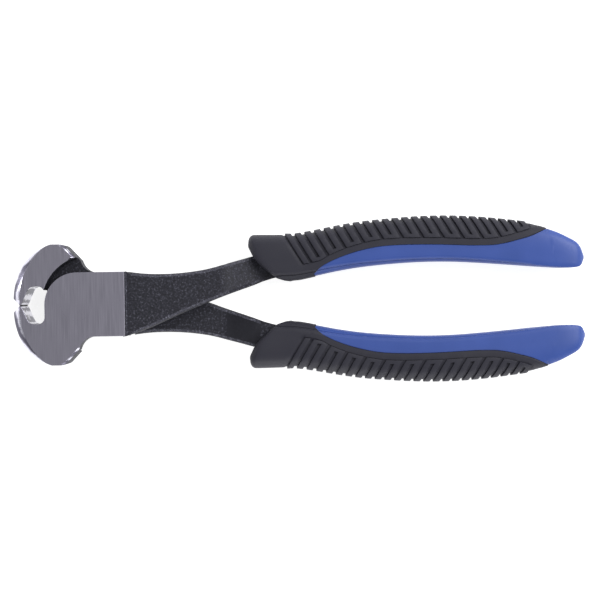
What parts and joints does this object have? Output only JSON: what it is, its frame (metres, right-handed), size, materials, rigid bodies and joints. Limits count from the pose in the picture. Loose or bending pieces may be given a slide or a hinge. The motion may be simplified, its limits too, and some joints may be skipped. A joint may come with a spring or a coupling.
{
  "type": "tile nippers",
  "caption": "Tile nippers: crossed forged levers on a flush rivet, with full-width end-cutting jaws and ribbed two-shot grips.",
  "frame": {"origin": "on the pivot axis, in the plane of the head's ground back face and the rivet's ground end", "axes": "+X along the tool from the jaws towards the handles, +Z along the pivot axis from the back face to the front face, +Y towards the handle whose arm crosses in front"},
  "size_m": [0.1976, 0.058, 0.02],
  "materials": {
    "lever_steel": "ground satin on the head's faces and bevels; black speckled coat on the arms and the jaws' sides",
    "rivet_steel": "ground flush and satin, brushed with the head",
    "grip_blue": "moulded, satin, fine grain",
    "grip_black": "soft touch, matt, fine grain"
  },
  "bodies": {
    "rear_half": {"rear_lever": "lever_steel", "pivot_rivet": "rivet_steel", "lower_grip_core": "grip_blue", "lower_grip_cover": "grip_black"},
    "front_half": {"front_lever": "lever_steel", "upper_grip_core": "grip_blue", "upper_grip_cover": "grip_black"}
  },
  "joints": [
    {"name": "pivot", "type": "hinge", "parent": "rear_half", "child": "front_half", "pos_m": [0, 0, 0.01], "axis": [0, 0, 1], "range_deg": [0, 46]}
  ]
}
